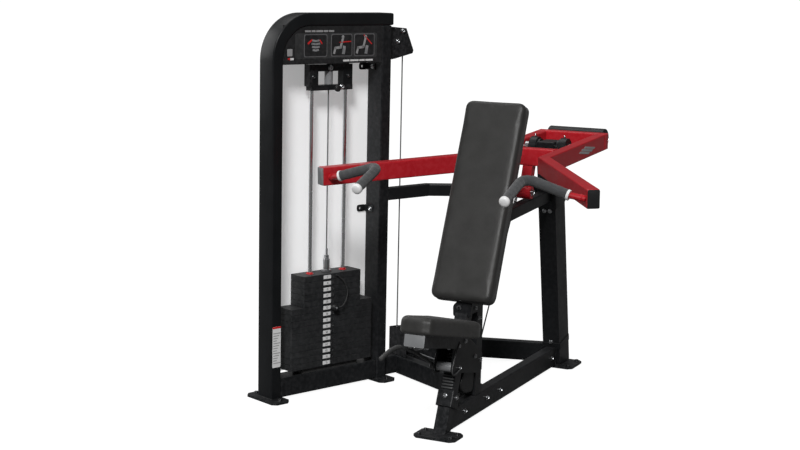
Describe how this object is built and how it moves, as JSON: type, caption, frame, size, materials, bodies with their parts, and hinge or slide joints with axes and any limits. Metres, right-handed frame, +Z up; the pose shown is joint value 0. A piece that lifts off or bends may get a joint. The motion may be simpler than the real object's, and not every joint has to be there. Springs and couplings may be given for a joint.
{
  "type": "shoulder press machine",
  "caption": "Seated shoulder press machine with a pin-selected weight stack in an arched tower, a cable-linked press arm with a counterweight, and a seat adjustable for height.",
  "frame": {"origin": "middle of the footprint's bounding box, on the floor", "axes": "+Z up; the seated user faces -Y and has the weight tower on their right, at -X"},
  "size_m": [1.5292, 1.7854, 1.6],
  "materials": {
    "black_paint": "satin black powder coat",
    "black_plastic": "moulded black",
    "cable_jacket": "dark jacket over steel rope",
    "chrome": "polished",
    "grip_foam": "matt foam grip",
    "red_paint": "satin red powder coat",
    "rubber": "matt",
    "shroud_sheet": "pale grey sheet",
    "stack_iron": "matt black painted plates",
    "vinyl": "dark grey upholstery vinyl",
    "zinc_steel": "zinc plated"
  },
  "bodies": {
    "root": {"backrest_board": "black_paint", "backrest_pad": "vinyl", "backrest_support_tube": "black_paint", "diagonal_base_tube": "black_paint", "drop_pulley_bracket": "black_paint", "front_foot_plate": "black_paint", "gas_spring_cylinder": "black_paint", "guide_rod_front": "chrome", "guide_rod_rear": "chrome", "instruction_placard": "black_plastic", "lift_cable": "cable_jacket", "pivot_axle": "zinc_steel", "rear_column": "black_paint", "rear_cross_tube": "black_paint", "rear_foot_plate": "black_paint", "rod_top_block": "black_paint", "seat_post": "black_paint", "seat_post_brace": "black_paint", "seat_pulley_bracket": "black_paint", "shroud_panel": "shroud_sheet", "spine_tube": "black_paint", "stack_plinth": "rubber", "tower_arch": "black_paint", "tower_base_extension": "black_paint", "tower_base_tube": "black_paint", "tower_foot_front": "black_paint", "tower_foot_rear": "black_paint", "tower_link_tube": "black_paint", "tower_pulley_guard": "black_paint", "tower_rear_column": "black_paint", "weight_plates_07_to_15": "stack_iron"},
    "press_arm": {"press_arm_left": "red_paint", "press_arm_right": "red_paint", "arm_front_brace": "red_paint", "arm_rear_brace": "red_paint", "counterweight": "black_paint", "cable_lever": "red_paint", "handle_tube_left": "red_paint", "handle_tube_right": "red_paint", "handle_grip_left": "grip_foam", "handle_grip_right": "grip_foam"},
    "stack_lifted": {"weight_plate_01": "stack_iron", "weight_plate_02": "stack_iron", "weight_plate_03": "stack_iron", "weight_plate_04": "stack_iron", "weight_plate_05": "stack_iron", "weight_plate_06": "stack_iron", "selector_rod": "zinc_steel", "cable_fitting": "chrome", "stack_cable": "cable_jacket", "pin_lanyard": "rubber"},
    "selector_pin": {"selector_pin": "black_plastic"},
    "pulley_over_stack": {"pulley_over_stack": "black_plastic"},
    "pulley_over_drop": {"pulley_over_drop": "black_plastic"},
    "pulley_tower_base": {"pulley_tower_base": "black_plastic"},
    "pulley_seat_base": {"pulley_seat_base": "black_plastic"},
    "seat_carriage": {"seat_carriage": "black_paint", "seat_pad": "vinyl", "gas_spring_rod": "chrome"},
    "seat_lever": {"seat_lever": "black_paint"}
  },
  "joints": [
    {"name": "press_arm_hinge", "type": "hinge", "parent": "root", "child": "press_arm", "pos_m": [0.17971, 0.4819, 1.018], "axis": [-1, 0, 0], "range_deg": [0, 30]},
    {"name": "stack_lift", "type": "slide", "parent": "root", "child": "stack_lifted", "axis": [0, 0, 1], "range_m": [0, 0.135], "deforming": ["stack_cable"]},
    {"name": "selector_pin_slide", "type": "slide", "parent": "stack_lifted", "child": "selector_pin", "axis": [0.9239, -0.3827, 0], "range_m": [0, 0.045]},
    {"name": "pulley_over_stack_spin", "type": "hinge", "parent": "root", "child": "pulley_over_stack", "pos_m": [-0.52554, -0.19389, 1.479], "axis": [-0.9239, 0.3827, 0], "range_deg": [0, 160.5]},
    {"name": "pulley_over_drop_spin", "type": "hinge", "parent": "root", "child": "pulley_over_drop", "pos_m": [-0.40557, 0.09574, 1.479], "axis": [-0.9239, 0.3827, 0], "range_deg": [0, 160.5]},
    {"name": "pulley_tower_base_spin", "type": "hinge", "parent": "root", "child": "pulley_tower_base", "pos_m": [-0.34578, 0.11584, 0.176], "axis": [-0.5052, -0.863, 0], "range_deg": [0, 160.5]},
    {"name": "pulley_seat_base_spin", "type": "hinge", "parent": "root", "child": "pulley_seat_base", "pos_m": [0.06323, -0.10123, 0.17195], "axis": [-0.4626, -0.7902, 0.4021], "range_deg": [0, 160.5]},
    {"name": "seat_height_slide", "type": "slide", "parent": "root", "child": "seat_carriage", "axis": [0, 0.3907, 0.9205], "range_m": [0, 0.12]},
    {"name": "seat_lever_hinge", "type": "hinge", "parent": "seat_carriage", "child": "seat_lever", "pos_m": [0.13221, -0.5961, 0.268], "axis": [-1, 0, 0], "range_deg": [0, 15]}
  ],
  "couplings": [
    {"joint": "stack_lift", "follows": "press_arm_hinge", "m_per_rad": 0.2565},
    {"joint": "pulley_over_stack_spin", "follows": "press_arm_hinge", "ratio": 5.3438},
    {"joint": "pulley_over_drop_spin", "follows": "press_arm_hinge", "ratio": 5.3438},
    {"joint": "pulley_tower_base_spin", "follows": "press_arm_hinge", "ratio": 5.3438},
    {"joint": "pulley_seat_base_spin", "follows": "press_arm_hinge", "ratio": 5.3438}
  ]
}
